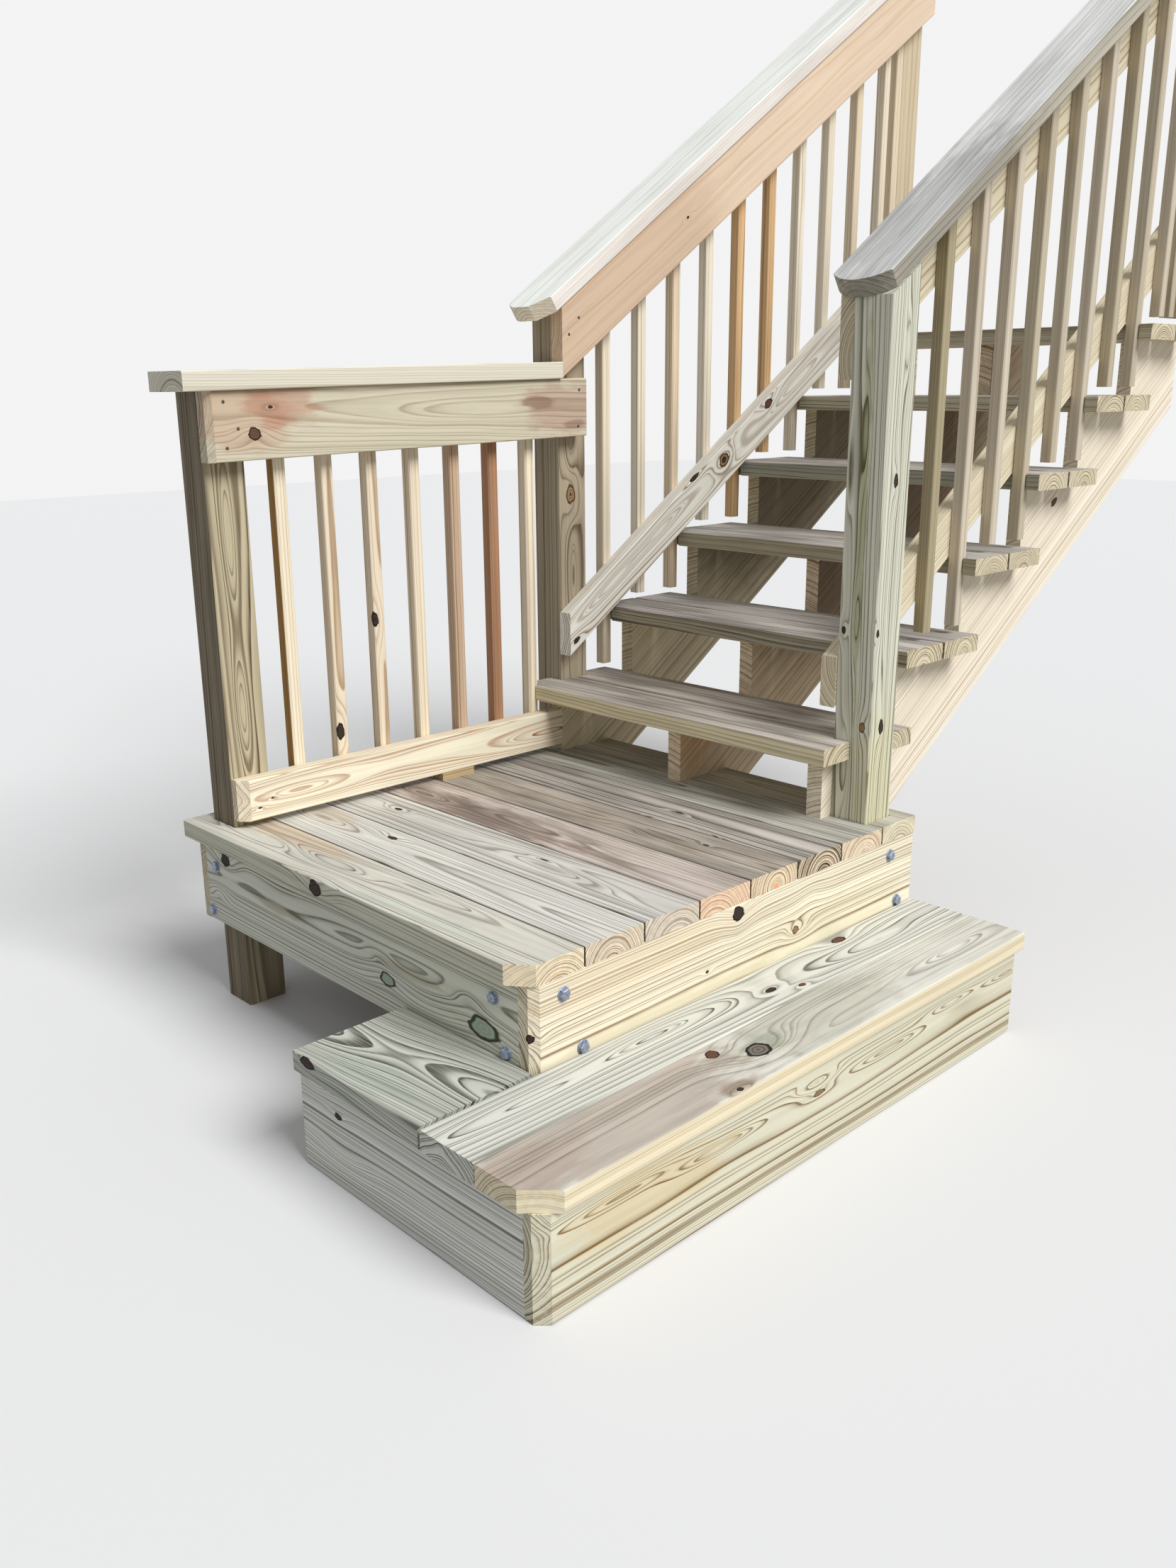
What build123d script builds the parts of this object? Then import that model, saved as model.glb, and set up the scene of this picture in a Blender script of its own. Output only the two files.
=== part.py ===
from build123d import *
from math import atan2, ceil, cos, floor, sin
import os

# Wooden deck stairs: a low L-shaped step, a landing with a guard on its left side, and a
# straight flight of open treads between two railings, up to the edge of a higher deck.
# Millimetres. X runs along the treads, Y climbs, Z is up. While the pieces are made, zero is
# the landing's right front corner at the level of its boards.

# Lumber, as dressed
thickness = 38
width_4 = 89
width_6 = 140
width_8 = 184
width_10 = 235
width_12 = 280
post_side = 89
baluster_side = 28
arris = 3
bar_arris = 2

# Landing
landing_width = 1095
landing_depth = 1098
landing_height = 412
deck_gap = 4
deck_front_overhang = 26
deck_back_overhang = 5
deck_clip_along = 43
deck_clip_across = 33
landing_joist_count = 2
rim_bevel = 14
notch_clearance = 2

# Low step round the landing's front and right sides
step_drop = 190
step_front_length = 350
step_inner_board_width = 128
step_board_gap = 3
step_overhang = 12
step_far_overhang = 3
step_clip = 48
step_rim_bevel = 20
ledger_clearance = 6
step_front_joist_count = 1
step_side_joist_count = 2

# Flight, with its lowest tread in front of the landing's back edge
tread_count = 6
rise = 171.2
run = 254
first_nosing_from_back = 218
nosing_overhang = 56
tread_board_gap = 8
tread_overhang_left = 40
tread_overhang_right = 63
first_tread_shortfall = 21
heel_clearance = 1

# Guard on the landing's left side; distances from the front face of the post at each end
guard_height = 921
guard_climb = 22
guard_post_lap = 12
guard_cap_before_front_post = 54
guard_cap_short_of_back_post = 26
guard_cap_overhang = 9
guard_face_before_front_post = 4
guard_face_past_back_post = 58
guard_face_clip = 12
guard_rail_clip = 20
guard_rail_lift = 17
guard_baluster_count = 7
guard_baluster_first = 65
guard_baluster_last = 82
guard_spacer_length = 94
guard_spacer_from_front_post = 525

# Railings of the flight; where each piece starts, from the front face of the back posts
rail_board_width = 134
face_board_gap = 1
right_rail_drop = 31
lower_rail_clearance = 7
left_face_reach = 19
right_face_setback = 11
lower_rail_reach = 3
left_cap_reach = 71
left_cap_overhang = 7
left_cap_corner_radius = 44
left_cap_clip_across = 42
left_cap_clip_along = 38
right_cap_reach = 6
right_cap_overhang = 12
right_cap_bulge = 29
baluster_lift = 20
balusters_per_tread = 2
first_baluster_behind_post = 62
baluster_notch_clearance = 3
left_notch_clearance = 18
upright_gap = 1
rail_end_setback = 19

pitch = atan2(rise, run)
slope = rise / run


def plumb(width):
    """The upright height of a board of this width that lies on the pitch of the flight."""
    return width / cos(pitch)


def block(x, y, z):
    """A square-edged solid between three (low, high) spans."""
    low = Align.MIN
    return Pos(x[0], y[0], z[0]) * Box(x[1] - x[0], y[1] - y[0], z[1] - z[0], align=(low, low, low))


def lumber(grain, x, y, z):
    """A board or post with its grain along one axis and the four edges along it eased."""
    board = block(x, y, z)
    return fillet(board.edges().filter_by(grain), arris)


def side_profile(x, points):
    """Extrude an outline of (y, z) points from x[0] to x[1]."""
    outline = Plane.YZ * Polygon(*points, align=None)
    return Pos(x[0], 0, 0) * extrude(outline, x[1] - x[0], dir=(1, 0, 0))


def upright_bar(x, y, bottom, top_at_front, top_slope):
    """A baluster or post with eased edges, its top cut square or to a slope that rises with y."""
    top_at_back = top_at_front + top_slope * (y[1] - y[0])
    outline = [(y[0], bottom), (y[1], bottom), (y[1], top_at_back), (y[0], top_at_front)]
    bar = side_profile(x, outline)
    return chamfer(bar.edges().filter_by(Axis.Z), bar_arris)


# Places shared by the frames
landing_left = -landing_width
post_span_left = (landing_left + thickness, landing_left + thickness + post_side)
post_span_right = (-thickness - post_side, -thickness)
post_span_front = (thickness, thickness + post_side)
post_span_back = (landing_depth - thickness - post_side, landing_depth - thickness)
guard_post_span = (post_span_front[0] - guard_post_lap, post_span_front[1] - guard_post_lap)
guard_slope = guard_climb / (post_span_back[0] - guard_post_span[0])
rim_z = (-thickness - width_8, -thickness)
ground = -landing_height
deck_back = landing_depth + deck_back_overhang
deck_pitch = width_6 + deck_gap
deck_board_count = ceil((deck_back + deck_front_overhang) / deck_pitch)


def guard_underside(y):
    """The height of the underside of the guard's cap, which climbs a little towards the flight."""
    return guard_height - thickness + guard_slope * (y - guard_post_span[0])


# Low step
step_top = -step_drop
step_board_z = (step_top - thickness, step_top)
step_rim_z = (ground, step_top - thickness)
ledger_z = (ground, rim_z[0] - ledger_clearance)
step_front = -step_board_gap - width_10
step_left = -step_front_length
step_inner_x = (step_board_gap, step_board_gap + step_inner_board_width)
step_outer_x = (step_inner_x[1] + step_board_gap, step_inner_x[1] + step_board_gap + width_6)
step_right = step_outer_x[1]
step_rim_face = step_right - step_overhang
step_rim_front_face = step_front + step_overhang
step_far = landing_depth + step_far_overhang
step_far_face = step_far - step_overhang


def corner_wedge(x, y, leg_x, leg_y, z):
    """The triangle that is sawn off a corner at (x, y), with legs that reach inwards."""
    points = [(x, y), (x + leg_x, y), (x, y + leg_y)]
    return Pos(0, 0, z[0]) * extrude(Polygon(*points, align=None), z[1] - z[0], dir=(0, 0, 1))


def step_board_front():
    return lumber(Axis.X, (step_left, -step_board_gap), (step_front, -step_board_gap), step_board_z)


def step_board_inner():
    return lumber(Axis.Y, step_inner_x, (step_front, step_far), step_board_z)


def step_board_outer():
    board = lumber(Axis.Y, step_outer_x, (step_front, step_far), step_board_z)
    return board - corner_wedge(step_right, step_front, -step_clip, step_clip, step_board_z)


def step_rim_front():
    return lumber(
        Axis.X, (step_left, step_rim_face - thickness),
        (step_rim_front_face, step_rim_front_face + thickness), step_rim_z
    )


def step_rim_side():
    rim = lumber(
        Axis.Y, (step_rim_face - thickness, step_rim_face), (step_rim_front_face, step_far_face), step_rim_z
    )
    bevel = corner_wedge(step_rim_face, step_rim_front_face, -step_rim_bevel, step_rim_bevel, step_rim_z)
    return rim - bevel


def step_end_rims():
    """The rims across the two ends of the step."""
    left_end = block(
        (step_left, step_left + thickness), (step_rim_front_face + thickness, 0), step_rim_z
    )
    far_end = block(
        (0, step_rim_face - thickness), (step_far_face - thickness, step_far_face), step_rim_z
    )
    return [left_end, far_end]


def step_ledger_front():
    """The board below the landing's front rim that carries the step's joists."""
    return block((step_left, -thickness), (0, thickness), ledger_z)


def step_ledger_side():
    return block((-thickness, 0), (0, step_far_face), ledger_z)


def step_joists():
    """Joists between the ledgers and the outer rims, square to the boards they carry."""
    joists = []
    front_bay = step_front_length / (step_front_joist_count + 1)
    for i in range(step_front_joist_count):
        middle = step_left + front_bay * (i + 1)
        joists.append(block(
            (middle - thickness / 2, middle + thickness / 2),
            (step_rim_front_face + thickness, 0), step_rim_z
        ))
    corner = block((0, step_rim_face - thickness), (0, thickness), step_rim_z)
    joists.append(corner)
    side_bay = (step_far_face - thickness) / (step_side_joist_count + 1)
    for i in range(step_side_joist_count):
        start = side_bay * (i + 1)
        joists.append(block((0, step_rim_face - thickness), (start, start + thickness), step_rim_z))
    return joists


# Landing
def landing_rim_front():
    return lumber(Axis.X, (landing_left + thickness, -thickness), (0, thickness), rim_z)


def landing_rim_back():
    return lumber(
        Axis.X, (landing_left + thickness, -thickness), (landing_depth - thickness, landing_depth), rim_z
    )


def landing_rim_right():
    rim = lumber(Axis.Y, (-thickness, 0), (0, landing_depth), rim_z)
    return rim - corner_wedge(0, 0, -rim_bevel, rim_bevel, rim_z)


def landing_rim_left():
    rim = lumber(Axis.Y, (landing_left, landing_left + thickness), (0, landing_depth), rim_z)
    return rim - corner_wedge(landing_left, 0, rim_bevel, rim_bevel, rim_z)


def landing_joists():
    bay = landing_width / (landing_joist_count + 1)
    joists = []
    for i in range(landing_joist_count):
        middle = landing_left + bay * (i + 1)
        joists.append(block(
            (middle - thickness / 2, middle + thickness / 2), (thickness, landing_depth - thickness), rim_z
        ))
    return joists


def grown(span, clearance):
    """A (low, high) span that is wider by the clearance at each end."""
    return (span[0] - clearance, span[1] + clearance)


def post_notches(z, clearance):
    """The room that the boards leave for the posts that pass through them."""
    spans = [
        (post_span_left, guard_post_span),
        (post_span_left, post_span_back),
        (post_span_right, post_span_back),
    ]
    return [block(grown(x, clearance), grown(y, clearance), z) for x, y in spans]


def deck_board(index):
    """A board of the landing, counted from the front; the last is ripped to fit."""
    start = -deck_front_overhang + index * deck_pitch
    end = min(start + width_6, deck_back)
    z = (-thickness, 0)
    board = lumber(Axis.X, (landing_left, 0), (start, end), z)
    if index == 0:
        board = board - corner_wedge(0, start, -deck_clip_along, deck_clip_across, z)
    for notch in post_notches(z, notch_clearance):
        board = board - notch
    return board


# Posts
def post_front_left():
    """The guard's front post, housed over the front rim so that it stands a little past its back."""
    top = guard_underside(guard_post_span[0])
    post = upright_bar(post_span_left, guard_post_span, ground, top, guard_slope)
    return post - block(post_span_left, (guard_post_span[0], thickness), rim_z)


def post_front_right():
    return upright_bar(post_span_right, post_span_front, ground, -thickness, 0)


def post_back_left():
    top = cap_underside(post_span_back[0], left_rail_height)
    return upright_bar(post_span_left, post_span_back, ground, top, slope)


def post_back_right():
    top = cap_underside(post_span_back[0], right_rail_height)
    return upright_bar(post_span_right, post_span_back, ground, top, slope)


# Flight
stringer_left_x = (post_span_left[1], post_span_left[1] + thickness)
stringer_right_x = (post_span_right[0] - thickness, post_span_right[0])
stringer_middle = (stringer_left_x[0] + stringer_right_x[1]) / 2
stringer_middle_x = (stringer_middle - thickness / 2, stringer_middle + thickness / 2)
left_bar_x = (stringer_left_x[0] - baluster_side, stringer_left_x[0])
right_bar_x = (stringer_right_x[1], stringer_right_x[1] + baluster_side)
left_upright_x = (stringer_left_x[0] - thickness, stringer_left_x[0])
right_upright_x = (stringer_right_x[1], stringer_right_x[1] + thickness)
guard_baluster_end = post_span_back[0] - guard_baluster_last
tread_x = (stringer_left_x[0] - tread_overhang_left, stringer_right_x[1] + tread_overhang_right)
first_nosing = landing_depth - first_nosing_from_back
first_riser = first_nosing + nosing_overhang
head = first_riser + tread_count * run
rail_end = head - rail_end_setback


def nosing_line(y):
    """The height of the line through the front top edges of the treads."""
    return rise + slope * (y - first_nosing)


def stringer_underside(y):
    return rise - thickness + slope * (y - first_riser) - plumb(width_12)


def stringer(x):
    """A notched board: level seats under the treads, plumb cuts between them, and a heel
    that stands on the landing and hangs behind its back edge."""
    outline = [(first_riser, 0)]
    for i in range(tread_count):
        seat = (i + 1) * rise - thickness
        outline.append((first_riser + i * run, seat))
        outline.append((first_riser + (i + 1) * run, seat))
    heel = deck_back + heel_clearance
    outline.append((head, stringer_underside(head)))
    outline.append((heel, stringer_underside(heel)))
    outline.append((heel, 0))
    return side_profile(x, outline)


def baluster_starts():
    """The y of each stair baluster's front face, at equal steps up the flight."""
    step = run / balusters_per_tread
    first = post_span_back[1] + first_baluster_behind_post
    last = rail_end - width_4 - upright_gap - baluster_side
    count = floor((last - first) / step) + 1
    return [first + i * step for i in range(count)] + [last]


def tread_below(y):
    """The number of the tread, from 1, whose front edge is the last one before y."""
    return min(tread_count, floor((y - first_nosing) / run) + 1)


def baluster_foot(y):
    return tread_below(y) * rise + baluster_lift


def baluster_notches(front, z, starts):
    """The room that a tread's front edge leaves for the balusters that pass it."""
    notches = []
    for start in starts:
        y = (front - thickness, start + baluster_side + baluster_notch_clearance)
        notches.append(block((tread_x[0] - thickness, stringer_left_x[0] + left_notch_clearance), y, z))
        notches.append(block(grown(right_bar_x, baluster_notch_clearance), y, z))
    return notches


def guard_notch(front, z):
    """The room that the lowest tread leaves for the guard's last baluster."""
    x = (tread_x[0] - thickness, stringer_left_x[0] + baluster_notch_clearance)
    y = (front - thickness, guard_baluster_end + baluster_notch_clearance)
    return block(x, y, z)


def tread(number):
    """Two boards with a gap between them, cut out round the posts and the balusters."""
    front = first_nosing + (number - 1) * run
    z = (number * rise - thickness, number * rise)
    right_end = tread_x[1]
    if number == 1:
        right_end = right_end - first_tread_shortfall
    front_y = (front, front + width_6)
    rear_y = (front_y[1] + tread_board_gap, front_y[1] + tread_board_gap + width_6)
    boards = [
        lumber(Axis.X, (tread_x[0], right_end), front_y, z),
        lumber(Axis.X, tread_x, rear_y, z),
    ]
    passing = [start for start in baluster_starts() if start < front < start + baluster_side]
    notches = baluster_notches(front, z, passing)
    if number == 1:
        notches = post_notches(z, notch_clearance) + [guard_notch(front, z)]
    for notch in notches:
        boards = [board - notch for board in boards]
    return boards


# Railings of the flight
def cap_underside(y, rail_height):
    """The height of the underside of a rail's cap, whose top is rail_height above the nosings."""
    return nosing_line(y) + rail_height - plumb(thickness)


left_face_start = post_span_back[0] - left_face_reach
face_board_foot = guard_underside(left_face_start) + face_board_gap
left_rail_height = face_board_foot + plumb(rail_board_width + thickness) - nosing_line(left_face_start)
right_rail_height = left_rail_height - right_rail_drop


def rail_board(x, start, end, bottom_at, height):
    """A board whose underside follows bottom_at, plumb cut at both ends, its long edges eased."""
    outline = [
        (start, bottom_at(start)), (end, bottom_at(end)),
        (end, bottom_at(end) + height), (start, bottom_at(start) + height)
    ]
    board = side_profile(x, outline)
    long_edges = board.edges().filter_by(Axis.X, reverse=True).filter_by(Axis.Z, reverse=True)
    return fillet(long_edges, arris)


def rail_face(x, start, rail_height):
    def bottom_at(y):
        return cap_underside(y, rail_height) - plumb(rail_board_width)
    return rail_board(x, start, rail_end, bottom_at, plumb(rail_board_width))


def rail_lower(x):
    def bottom_at(y):
        return nosing_line(y) + lower_rail_clearance
    return rail_board(x, post_span_back[0] - lower_rail_reach, rail_end, bottom_at, plumb(width_4))


def cap_plane(rail_height):
    """The plane of a cap's underside: x across the flight, y up the pitch."""
    origin = (0, 0, cap_underside(0, rail_height))
    return Plane(origin=origin, x_dir=(1, 0, 0), z_dir=(0, -sin(pitch), cos(pitch)))


def ease_cap(cap):
    along = Axis((0, 0, 0), (0, cos(pitch), sin(pitch)))
    return fillet(cap.edges().filter_by(along), arris)


def left_rail_cap():
    """A flat board with its lower end rounded at one corner and clipped at the other."""
    right = stringer_left_x[1] + left_cap_overhang
    left = right - rail_board_width
    low = (post_span_back[0] - left_cap_reach) / cos(pitch)
    high = rail_end / cos(pitch)
    outline = Polygon(
        (left, low), (right - left_cap_clip_across, low), (right, low + left_cap_clip_along),
        (right, high), (left, high), align=None
    )
    corner = outline.vertices().sort_by(lambda v: v.X + v.Y)[0]
    outline = fillet(corner, left_cap_corner_radius)
    plane = cap_plane(left_rail_height)
    cap = extrude(plane * outline, thickness, dir=plane.z_dir)
    return ease_cap(cap)


def right_rail_cap():
    """A flat board with its lower end sawn to a round nose."""
    left = stringer_right_x[0] - right_cap_overhang
    right = left + rail_board_width
    tip = (post_span_back[0] - right_cap_reach) / cos(pitch)
    shoulder = tip + right_cap_bulge
    high = rail_end / cos(pitch)
    nose = ThreePointArc((left, shoulder), ((left + right) / 2, tip), (right, shoulder))
    sides = Polyline((right, shoulder), (right, high), (left, high), (left, shoulder))
    plane = cap_plane(right_rail_height)
    cap = extrude(plane * make_face(nose + sides), thickness, dir=plane.z_dir)
    return ease_cap(cap)


def stair_balusters(x, rail_height):
    bars = []
    for start in baluster_starts():
        top = cap_underside(start, rail_height)
        bars.append(upright_bar(x, (start, start + baluster_side), baluster_foot(start), top, slope))
    return bars


def upper_upright(x, rail_height):
    """The flat upright that ends a railing at the head of the flight."""
    y = (rail_end - width_4, rail_end)
    return upright_bar(x, y, baluster_foot(y[0]), cap_underside(y[0], rail_height), slope)


# Guard
guard_board_x = stringer_left_x


def guard_cap():
    right = guard_board_x[1] + guard_cap_overhang
    start = guard_post_span[0] - guard_cap_before_front_post
    end = post_span_back[0] - guard_cap_short_of_back_post
    return rail_board((right - rail_board_width, right), start, end, guard_underside, thickness)


def clip_guard_board(board, start, clip):
    """Saw the outer corner off the front end of a board on the landing's side of the guard."""
    return board - corner_wedge(guard_board_x[1], start, -clip, clip, (0, guard_height))


def guard_face_board():
    def bottom_at(y):
        return guard_underside(y) - rail_board_width
    start = guard_post_span[0] - guard_face_before_front_post
    end = post_span_back[0] + guard_face_past_back_post
    board = rail_board(guard_board_x, start, end, bottom_at, rail_board_width)
    return clip_guard_board(board, start, guard_face_clip)


def guard_bottom_rail():
    y = (guard_post_span[0], first_riser)
    board = lumber(Axis.Y, guard_board_x, y, (guard_rail_lift, guard_rail_lift + width_4))
    return clip_guard_board(board, y[0], guard_rail_clip)


def guard_spacer():
    """The block that keeps the bottom rail off the deck at mid-span."""
    start = guard_post_span[0] + guard_spacer_from_front_post
    return block(guard_board_x, (start, start + guard_spacer_length), (0, guard_rail_lift))


def guard_balusters():
    first = guard_post_span[1] + guard_baluster_first
    last = guard_baluster_end - baluster_side
    step = (last - first) / (guard_baluster_count - 1)
    bars = []
    for i in range(guard_baluster_count):
        start = first + i * step
        y = (start, start + baluster_side)
        bars.append(upright_bar(left_bar_x, y, guard_rail_lift, guard_underside(start), guard_slope))
    return bars


nodes = {
    "step_board_front": step_board_front(),
    "step_board_inner": step_board_inner(),
    "step_board_outer": step_board_outer(),
    "step_rim_front": step_rim_front(),
    "step_rim_side": step_rim_side(),
    "step_end_rims": step_end_rims(),
    "step_ledger_front": step_ledger_front(),
    "step_ledger_side": step_ledger_side(),
    "step_joists": step_joists(),
    "landing_rim_front": landing_rim_front(),
    "landing_rim_back": landing_rim_back(),
    "landing_rim_left": landing_rim_left(),
    "landing_rim_right": landing_rim_right(),
    "landing_joists": landing_joists(),
    "post_front_left": post_front_left(),
    "post_front_right": post_front_right(),
    "post_back_left": post_back_left(),
    "post_back_right": post_back_right(),
    "guard_cap": guard_cap(),
    "guard_face_board": guard_face_board(),
    "guard_bottom_rail": guard_bottom_rail(),
    "guard_spacer": guard_spacer(),
    "guard_balusters": guard_balusters(),
    "stringer_left": stringer(stringer_left_x),
    "stringer_middle": stringer(stringer_middle_x),
    "stringer_right": stringer(stringer_right_x),
    "left_rail_cap": left_rail_cap(),
    "left_rail_face": rail_face(stringer_left_x, left_face_start, left_rail_height),
    "left_rail_lower": rail_lower(stringer_left_x),
    "left_balusters": stair_balusters(left_bar_x, left_rail_height),
    "right_rail_cap": right_rail_cap(),
    "right_rail_face": rail_face(
        stringer_right_x, post_span_back[0] + right_face_setback, right_rail_height
    ),
    "right_rail_lower": rail_lower(stringer_right_x),
    "right_balusters": stair_balusters(right_bar_x, right_rail_height),
    "upper_upright_left": upper_upright(left_upright_x, left_rail_height),
    "upper_upright_right": upper_upright(right_upright_x, right_rail_height),
}
for i in range(deck_board_count):
    nodes[f"deck_board_{i + 1}"] = deck_board(i)
for i in range(tread_count):
    nodes[f"tread_{i + 1}"] = tread(i + 1)

# The origin is the middle of the middle stringer's sawn head, which is fixed to the upper deck
head_top = tread_count * rise - thickness
head_middle = (head_top + stringer_underside(head)) / 2
to_origin = Pos(-stringer_middle, -head, -head_middle)

os.makedirs("parts", exist_ok=True)
for name, shape in nodes.items():
    solids = shape if isinstance(shape, list) else [shape]
    placed = [to_origin * solid for solid in solids]
    export_step(Compound(children=placed) if len(placed) > 1 else placed[0], f"parts/{name}.step")
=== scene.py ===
import math
import random

import bpy
import numpy as np
from mathutils import Matrix, Vector


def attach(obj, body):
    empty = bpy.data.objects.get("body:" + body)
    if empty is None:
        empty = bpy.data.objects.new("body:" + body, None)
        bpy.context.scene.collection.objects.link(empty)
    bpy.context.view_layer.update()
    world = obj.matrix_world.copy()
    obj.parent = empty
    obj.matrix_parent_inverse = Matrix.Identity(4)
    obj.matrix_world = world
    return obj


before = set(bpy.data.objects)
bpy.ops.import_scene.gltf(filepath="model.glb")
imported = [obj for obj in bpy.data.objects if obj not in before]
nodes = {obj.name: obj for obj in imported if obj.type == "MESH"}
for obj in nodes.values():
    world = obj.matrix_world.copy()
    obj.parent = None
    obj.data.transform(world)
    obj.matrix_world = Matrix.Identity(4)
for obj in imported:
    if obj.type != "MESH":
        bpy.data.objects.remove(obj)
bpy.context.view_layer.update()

# Posts. Four sawn posts of new pressure-treated pine stand in the corners of the landing, and
# its rims are bolted to them. Each is one piece of a small log, so its rings show as fine lines
# on one face and as long arches on the next. The back right one has gone pale green.
RISE, RUN = 171.2, 254.0
PITCH = math.atan2(RISE, RUN)
# The landing's right front corner at the height of its boards, in mm in the row's frame
CORNER = (547.5, -2460.0, -905.968)
# For each way that the grain can run: the two directions across it and the one along it
DIRECTIONS = {
    "x": ((0, 1, 0), (0, 0, 1), (1, 0, 0)),
    "y": ((1, 0, 0), (0, 0, 1), (0, 1, 0)),
    "z": ((1, 0, 0), (0, 1, 0), (0, 0, 1)),
    "pitch": ((1, 0, 0), (0, -math.sin(PITCH), math.cos(PITCH)),
              (0, math.cos(PITCH), math.sin(PITCH))),
}
# Ways that a face can look
FRONT, TOP = (0, -1, 0), (0, 0, 1)
# How far apart in the tree the boards of one node are taken, in metres
LOG_LENGTH = 10.0
# The sizes of the wood's unevenness, in waves per metre across the tree both ways and along it
WANDER_WAVES = (5, 5, 1.6)
RIPPLE_WAVES = (28, 28, 4)
STREAK_WAVES = (90, 90, 2.2)
FIBRE_WAVES = (260, 260, 6)
# How far the ripples move a ring, in metres
RIPPLE = (0.0013, 0.0013, 0.004)
# How dark a growth ring is from its spring wood to the end of its summer wood
RING_PROFILE = [(0.0, 0.25), (0.05, 0.0), (0.42, 0.04), (0.66, 0.35), (0.84, 0.95), (0.95, 1.0),
                (1.0, 0.25)]
# How often the rings inside a knot come back, as a factor on the distance from its middle
KNOT_RINGS = 17.0


def at(x, y, z):
    """A place measured in mm from the landing's right front corner, in the row's frame."""
    return np.array((x + CORNER[0], y + CORNER[1], z + CORNER[2])) / 1000


def linear(colour):
    """A colour written from 0 to 255 as the eye sees it, as linear light with alpha."""
    return [*(((c / 255 + 0.055) / 1.055) ** 2.4 if c > 10 else c / 3294.6 for c in colour), 1.0]


def grey(level):
    """A grey as linear light with alpha."""
    return (level, level, level, 1)


def solids_of(mesh):
    """The vertices, the number of the solid each belongs to in order of y, and their count.
    Corners that meet within a hundredth of a mm belong together."""
    co = np.array([v.co for v in mesh.vertices]).reshape(-1, 3)
    spots, spot = np.unique(np.round(co * 1e5).astype(int), axis=0, return_inverse=True)
    spot = spot.reshape(-1)
    ends = spot[np.array([e.vertices[:] for e in mesh.edges])]
    label = np.arange(len(spots))
    while True:
        low = np.minimum(label[ends[:, 0]], label[ends[:, 1]])
        new = label.copy()
        np.minimum.at(new, ends[:, 0], low)
        np.minimum.at(new, ends[:, 1], low)
        if (new == label).all():
            break
        label = new
    mine = label[spot]
    order = sorted(np.unique(mine), key=lambda n: tuple(co[mine == n].mean(0)[[1, 0, 2]]))
    number = np.zeros(len(co), int)
    for i, n in enumerate(order):
        number[mine == n] = i
    return co, number, len(order)


class Log:
    """The tree that a node's solids are sawn from. Each vertex gets its place in the tree: how
    far it lies from the pith both ways, and along it. Each solid has its own length of tree.
    piths are in mm from the middle of each solid, and lean is mm of drift per metre."""

    def __init__(self, name, grain, piths=(), lean=(0, 0), tones=()):
        self.obj = nodes[name]
        co, number, count = solids_of(self.obj.data)
        self.axes = np.array(DIRECTIONS[grain], float)
        flat = co @ self.axes.T
        chance = random.Random(name)
        self.solids = []
        tree = np.zeros_like(flat)
        tone = np.zeros(len(co))
        for i in range(count):
            mine = number == i
            middle = (flat[mine].min(0) + flat[mine].max(0)) / 2
            turn, far = chance.uniform(0, math.tau), chance.uniform(35, 90)
            pith = piths[i % len(piths)] if piths else (far * math.cos(turn), far * math.sin(turn))
            solid = (co[mine].min(0), co[mine].max(0), middle,
                     np.array(pith) / 1000, np.array(lean) / 1000, i)
            self.solids.append(solid)
            tree[mine] = self._place(flat[mine], solid)
            tone[mine] = tones[i % len(tones)] if tones else chance.random()
        store = self.obj.data.attributes.new("tree", "FLOAT_VECTOR", "POINT")
        store.data.foreach_set("vector", tree.astype(np.float32).ravel())
        store = self.obj.data.attributes.new("tone", "FLOAT", "POINT")
        store.data.foreach_set("value", tone.astype(np.float32))

    @staticmethod
    def _place(flat, solid):
        middle, pith, drift, i = solid[2:]
        along = flat[:, 2:] - middle[2]
        across = flat[:, :2] - middle[:2] - pith - along * drift
        return np.hstack((across, along + LOG_LENGTH * (i + 1)))

    def place(self, point):
        """The place in the tree of a point in the row's frame, in the solid that is nearest."""
        def away(solid):
            return np.linalg.norm(np.maximum(np.maximum(solid[0] - point, point - solid[1]), 0))
        solid = min(self.solids, key=away)
        return tuple(self._place((np.array(point) @ self.axes.T)[None, :], solid)[0])


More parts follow.
